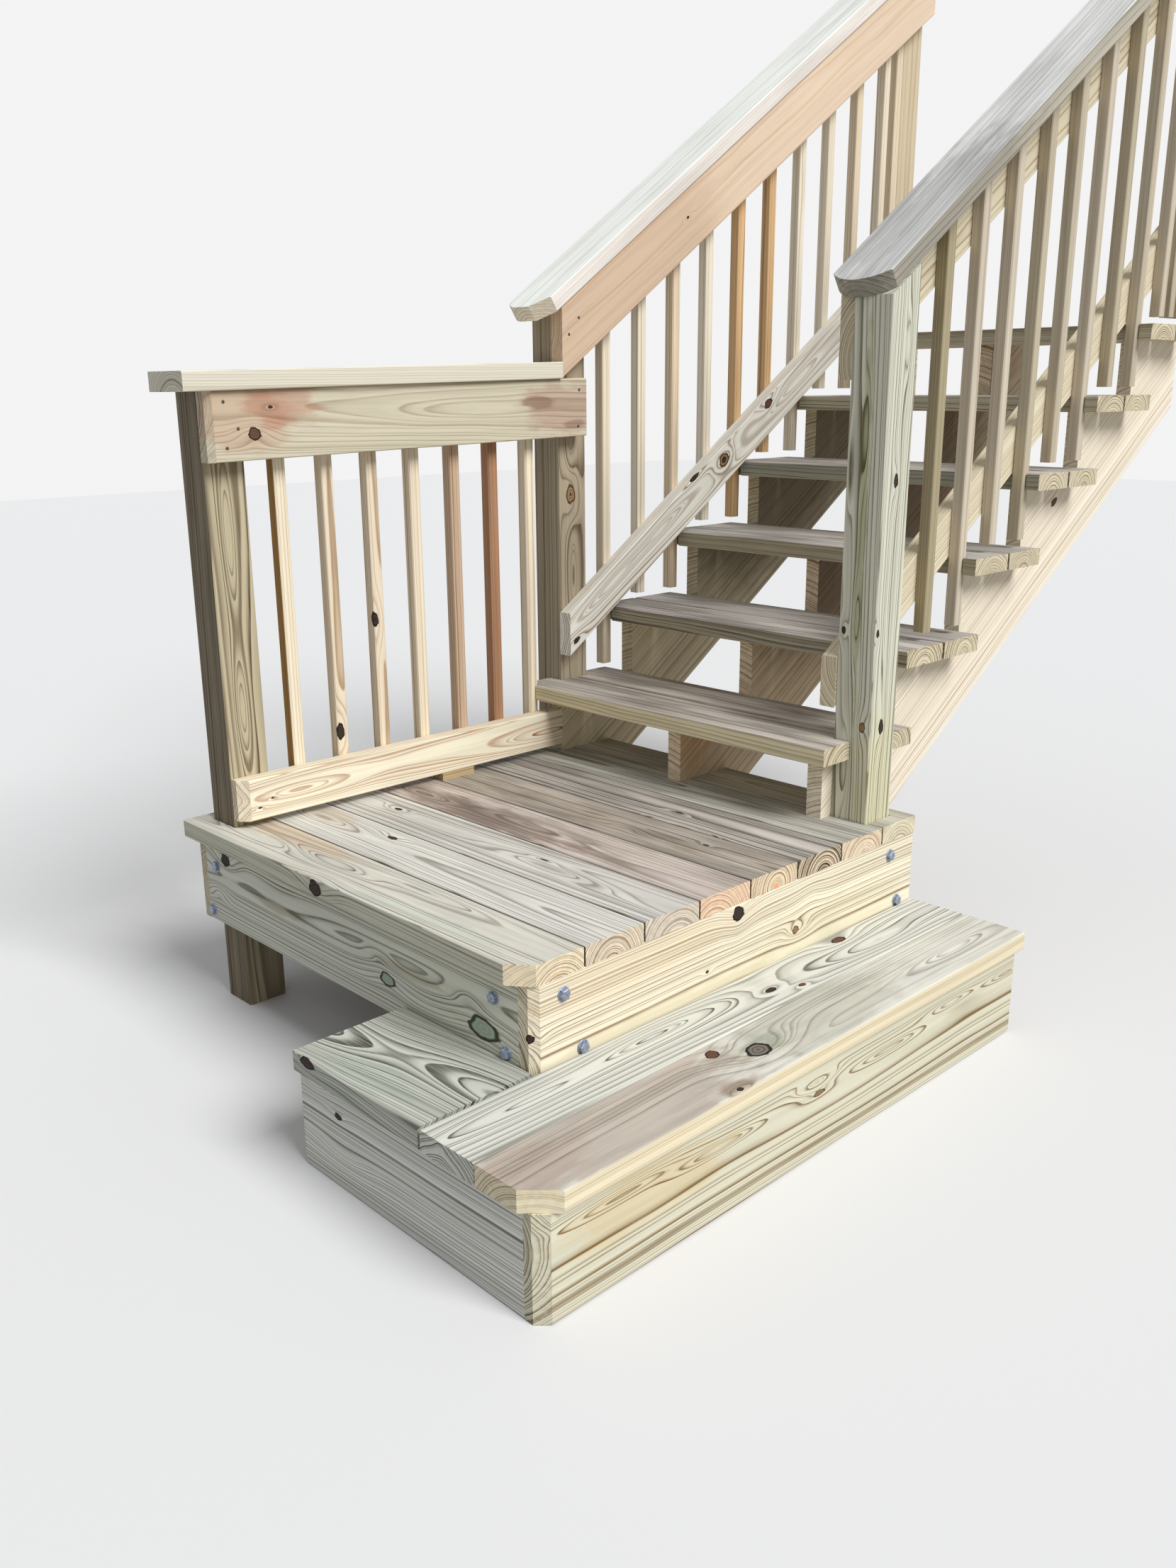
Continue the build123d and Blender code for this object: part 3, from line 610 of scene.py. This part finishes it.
# Two colours of the edges, two of the top, the pith of the front board and the seed
TREADS = [
    ((238, 228, 194), (150, 136, 98), (194, 187, 180), (116, 106, 98), (8, -44), 0.3),
    # The edges of the second to fourth treads are much darker than the first's: partly darker wood
    # and partly painted shade.
    ((170, 164, 146), (92, 84, 68), (186, 182, 180), (114, 106, 102), (-10, -36), 1.6),
    ((168, 160, 138), (100, 88, 66), (186, 183, 180), (116, 110, 106), (6, -56), 2.7),
    ((152, 155, 142), (86, 88, 76), (186, 182, 178), (118, 112, 106), (-4, -40), 3.9),
    ((186, 182, 162), (112, 104, 82), (186, 182, 178), (118, 112, 106), (10, -60), 4.6),
    ((190, 184, 164), (116, 106, 84), (186, 182, 178), (118, 112, 106), (0, -48), 5.8),
]
for number, (pale, late, top_pale, top_late, pith, seed) in enumerate(TREADS, 1):
    log = Log(f"tread_{number}", "x", [pith, (-pith[0], pith[1] * 0.6)], lean=(9, 4))
    wood = timber(log, **TREAD_ENDS, ring=4.8, strength=1.0, bold=1.2, wander=8.0, seed=seed)
    skin(wood, pale, late, way=FRONT)
    skin(wood, pale, late, way=BACK)
    skin(wood, top_pale, top_late, grime=0.34)


# Rails of the flight. On each side a lower rail and a face board of pine are nailed to the
# inside of the balusters, on the pitch. The left lower rail is nearly white, with ringed knots
# one above another; the left face board is orange, and greyer at its lower end.
timber(
    Log("left_rail_lower", "pitch", [(-60, 8)], lean=(12, 5)),
    pale=(250, 247, 236), late=(140, 110, 78), ring=5.0, strength=0.9, wander=4.0, seed=3.0,
    swells=[(at(-930, 1120, 410), 16, 130, -5), (at(-930, 1300, 530), 14, 100, -4),
            (at(-930, 1853, 898), 16, 110, -3)],
    knots=[(at(-930, 1426, 657), 9, 20, DARK_KNOT), (at(-930, 1545, 694), 16, 20, TAN_KNOT),
           (at(-930, 1545, 694), 7, 9, DARK_KNOT), (at(-930, 1728, 838), 11, 17, RED_KNOT),
           (at(-930, 990, 276), 6, 12, DARK_KNOT)])
timber(
    Log("right_rail_lower", "pitch", [(58, 30)], lean=(0, -6)),
    pale=(232, 222, 194), late=(160, 130, 92), ring=5.6, seed=1.4)
wood = timber(
    Log("left_rail_face", "pitch", [(-90, 30)], lean=(0, -5)),
    pale=(236, 213, 187), late=(206, 170, 134), ring=6.4, strength=0.5, wander=5.0, seed=5.0,
    knots=[(at(-930, 1387, 1289), 3, 5, DARK_KNOT)])
blotch(wood, at(-930, 1150, 1120), 300, 480, (236, 230, 226), 1.0, ragged=0.2)
timber(
    Log("right_rail_face", "pitch", [(80, -30)], lean=(0, 6)),
    pale=(222, 212, 184), late=(156, 128, 92), ring=5.6, seed=6.6)


# Balusters of the flight. Square pine pickets with eased corners, nailed outside the lower
# rail and the face board; some are pale sapwood and some orange heartwood. A flat upright ends
# each railing at the head.
timber(
    Log("left_balusters", "z", tones=[0.15, 0.0, 0.4, 0.0, 0.95, 0.95, 0.0, 0.1, 0.3, 0.1, 0.3]),
    pale=(246, 237, 216), late=(168, 136, 98), ring=4.6, strength=0.75, wander=3.0,
    second=(228, 186, 134), seed=7.7)
timber(
    Log("right_balusters", "z", tones=[0.3, 1.0, 0.12, 0.15, 0.5, 0.4, 0.1, 0.6, 0.3, 0.2, 0.5]),
    pale=(216, 205, 186), late=(160, 132, 104), ring=4.6, strength=0.6, wander=3.0,
    second=(178, 166, 134), seed=8.8,
    knots=[(at(-99, 1136, 205), 4, 5, DARK_KNOT)])
UPRIGHT = {"pale": (216, 200, 170), "late": (158, 126, 88)}
timber(Log("upper_upright_left", "z", [(-50, 10)]), **UPRIGHT, seed=2.5)
timber(Log("upper_upright_right", "z", [(50, -10)]), **UPRIGHT, seed=5.5)


# Caps of the railings. Flat pine boards nailed on the pitch over the balusters' tops, bleached
# by the weather. The left one is clipped and rounded at its lower end, the right one is sawn
# to a round nose.
RIGHT = (1, 0, 0)
wood = timber(
    Log("left_rail_cap", "pitch", [(20, -58)], lean=(6, 0)),
    pale=(248, 237, 216), late=(188, 158, 124), ring=5.4, strength=0.75, seed=4.2)
skin(wood, (242, 236, 230), (224, 214, 206), way=RIGHT)
skin(wood, (250, 254, 249), (230, 234, 229), grime=0.06)
wood = timber(
    Log("right_rail_cap", "pitch", [(-10, -50)], lean=(-8, 0)),
    pale=(192, 186, 170), late=(118, 108, 92), ring=5.4, strength=0.8, seed=6.9)
skin(wood, (236, 236, 235), (196, 195, 192), grime=0.12)
blotch(wood, at(-22, 1200, 1120), 300, 420, (222, 222, 222), 1.0)


# Bolts. Galvanised hex bolts with round washers hold the rims of the landing to its posts, two
# at each end of a board; those at the front and on the right are in sight. Their places are
# listed by the side that the board faces.
BOLTS = {"-y": [(-1014, 0, -91), (-1045, 0, -199), (-99, 0, -87), (-70, 0, -179)],
         "+x": [(0, 66, -69), (0, 109, -181), (0, 1012, -69), (0, 1046, -179)],
         "+y": [(-1012, 1098, -69), (-1040, 1098, -179), (-99, 1098, -69), (-70, 1098, -179)]}
# Radius and height over the board, in mm, from the back of the piece to its top
WASHER = [(13, -1.5), (13, 1.2), (12.2, 1.8)]
BOLT_HEAD = [(10.6, 1.0), (10.6, 7.2), (8.6, 8.4)]
ROUND, HEX = 24, 6
# The two directions in a board's face, so that their cross product points out of it
FACES = {"-y": ((1, 0, 0), (0, 0, 1)), "+x": ((0, 1, 0), (0, 0, 1)),
         "+y": ((-1, 0, 0), (0, 0, 1)), "+z": ((0, 1, 0), (-1, 0, 0))}


def stud(spot, side, corners, profile, turn=0.0):
    """The points and faces of a round or six-sided body that stands on a face of a board.
    profile lists its radius and its height over that face, in mm."""
    along, up = np.array(FACES[side], float)
    out = np.cross(along, up)
    points, faces = [], []
    for radius, height in profile:
        for step in range(corners):
            a = turn + math.tau * step / corners
            rim = (along * math.cos(a) + up * math.sin(a)) * radius
            points.append(at(*spot) + (rim + out * height) / 1000)
    top = len(points) - corners
    for base in range(0, top, corners):
        for step in range(corners):
            a, b = base + step, base + (step + 1) % corners
            faces.append([a, b, b + corners, a + corners])
    faces.append([top + step for step in range(corners)])
    faces.append([step for step in reversed(range(corners))])
    return points, faces


def hardware(name, studs, material):
    """One piece made of many small heads, in the finish that is given."""
    points, faces = [], []
    for more_points, more_faces in studs:
        faces += [[len(points) + i for i in face] for face in more_faces]
        points += more_points
    mesh = bpy.data.meshes.new(name)
    mesh.from_pydata([tuple(point) for point in points], [], faces)
    mesh.materials.append(material)
    heads = bpy.data.objects.new(name, mesh)
    bpy.context.scene.collection.objects.link(heads)
    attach(heads, "root")


zinc = Finish("galvanised_bolts")
SPANGLE_WAVES = (300, 300, 300)
spangle = zinc.noise(zinc.add("ShaderNodeTexCoord", output=3), SPANGLE_WAVES, detail=3.0)
spangle = zinc.between(spangle, 0.3, 0.7)
colour = zinc.blend(spangle, linear((124, 136, 158)), linear((174, 183, 200)))
zinc.give(zinc.shader.inputs["Base Color"], colour)
zinc.give(zinc.shader.inputs["Metallic"], 0.6)
zinc.give(zinc.shader.inputs["Roughness"], 0.42)
studs = []
for side, spots in BOLTS.items():
    for spot in spots:
        turn = random.Random(str(spot)).uniform(0, math.tau)
        studs += [stud(spot, side, ROUND, WASHER, turn), stud(spot, side, HEX, BOLT_HEAD, turn)]
hardware("rim_bolts", studs, zinc.material)


# Nails. Small round heads of dull steel driven flush, in sight on the guard's boards and on
# the top of its bottom rail.
NAILS = {"+x": [(-930, 1006, 1042), (-930, 974, 1004), (-930, 1005, 879), (-930, 1001, 795),
                (-930, 59, 776), (-930, 58, 863), (-930, 86, 812)],
         "+z": [(-945, 898, 106)]}
NAIL_HEAD = [(3.6, -0.6), (3.6, 0.2), (2.9, 0.6)]
NAIL_ROUND = 16
steel = Finish("nail_steel")
steel.give(steel.shader.inputs["Base Color"], linear((92, 84, 76)))
steel.give(steel.shader.inputs["Metallic"], 0.7)
steel.give(steel.shader.inputs["Roughness"], 0.5)
nails = [stud(spot, side, NAIL_ROUND, NAIL_HEAD)
         for side, spots in NAILS.items() for spot in spots]
hardware("nail_heads", nails, steel.material)


# Floor. A plain pale sheet laid just under the posts and the low step. The camera, gloss and
# glass see it that pale; what it throws back up on the wood is darker.
# The level of the posts' feet in mm from the landing's boards, and the sheet's size and its
# distance under the feet in metres
FEET = -412
FLOOR_SIZE, FLOOR_DROP = 30, 0.001
FLOOR_PALE, FLOOR_DARK = 0.8, 0.4
height = at(0, 0, FEET)[2] - FLOOR_DROP
bpy.ops.mesh.primitive_plane_add(size=FLOOR_SIZE, location=(0, 0, height))
floor = bpy.context.object
floor.name = "floor"
sheet = Finish("floor")
path = sheet.add("ShaderNodeLightPath")
seen = sheet.math("MAXIMUM", path, sheet.math("MAXIMUM", path.node.outputs["Is Glossy Ray"],
                                              path.node.outputs["Is Transmission Ray"]))
pale = sheet.blend(seen, grey(FLOOR_DARK), grey(FLOOR_PALE))
sheet.give(sheet.shader.inputs["Base Color"], pale)
sheet.give(sheet.shader.inputs["Roughness"], 0.9)
floor.data.materials.append(sheet.material)


# Light. Soft light comes from all round, with a broad lamp high on the right. The backdrop is
# pale for the camera, gloss and glass, and doesn't light the wood.
SKY_COLOUR, SKY_STRENGTH = (0.95, 0.97, 1.0, 1), 0.38
BACKDROP_PALE, BACKDROP_STRENGTH = 0.9, 1.0
LAMP_STRENGTH, LAMP_ANGLE, LAMP_SIDE = 2.9, 30, (0.70, 0.05, 0.71)
world = bpy.data.worlds.new("sky")
bpy.context.scene.world = world
world.use_nodes = True
links, shaders = world.node_tree.links, world.node_tree.nodes
soft = shaders["Background"]
soft.inputs["Color"].default_value = SKY_COLOUR
soft.inputs["Strength"].default_value = SKY_STRENGTH
backdrop = shaders.new("ShaderNodeBackground")
backdrop.inputs["Color"].default_value = grey(BACKDROP_PALE)
backdrop.inputs["Strength"].default_value = BACKDROP_STRENGTH
path = shaders.new("ShaderNodeLightPath")
either = shaders.new("ShaderNodeMixShader")
rays = path.outputs["Is Camera Ray"]
for kind in ("Is Glossy Ray", "Is Transmission Ray"):
    more = shaders.new("ShaderNodeMath")
    more.operation = "MAXIMUM"
    links.new(rays, more.inputs[0])
    links.new(path.outputs[kind], more.inputs[1])
    rays = more.outputs[0]
links.new(rays, either.inputs[0])
links.new(soft.outputs[0], either.inputs[1])
links.new(backdrop.outputs[0], either.inputs[2])
links.new(either.outputs[0], shaders["World Output"].inputs["Surface"])
lamp = bpy.data.objects.new("lamp", bpy.data.lights.new("lamp", "SUN"))
lamp.data.energy = LAMP_STRENGTH
lamp.data.angle = math.radians(LAMP_ANGLE)
lamp.rotation_mode = "QUATERNION"
lamp.rotation_quaternion = Vector(LAMP_SIDE).to_track_quat("Z", "Y")
bpy.context.scene.collection.objects.link(lamp)


# Camera. It stands where the photo was taken from, in front of the stairs on their right and
# about as high as the guard's cap, and looks down by 17 degrees.
CAMERA_PLACE = (2.0074, -3.7443, -0.0205)
AZIMUTH, ELEVATION, ROLL = 45.985, 16.668, -0.430
LENS, SENSOR = 30.454, 36
azimuth, elevation, roll = math.radians(AZIMUTH), math.radians(ELEVATION), math.radians(ROLL)
camera = bpy.data.objects.new("camera", bpy.data.cameras.new("camera"))
camera.data.lens = LENS
camera.data.sensor_width = SENSOR
camera.location = CAMERA_PLACE
forward = Vector((-math.sin(azimuth) * math.cos(elevation),
                  math.cos(azimuth) * math.cos(elevation), -math.sin(elevation)))
right = Vector((math.cos(azimuth), math.sin(azimuth), 0))
up = right.cross(forward)
right, up = (right * math.cos(roll) + up * math.sin(roll),
             up * math.cos(roll) - right * math.sin(roll))
camera.rotation_mode = "QUATERNION"
camera.rotation_quaternion = Matrix(np.array((right, up, -forward)).T.tolist()).to_quaternion()
bpy.context.scene.collection.objects.link(camera)
bpy.context.scene.camera = camera
bpy.context.scene.view_settings.view_transform = "Standard"
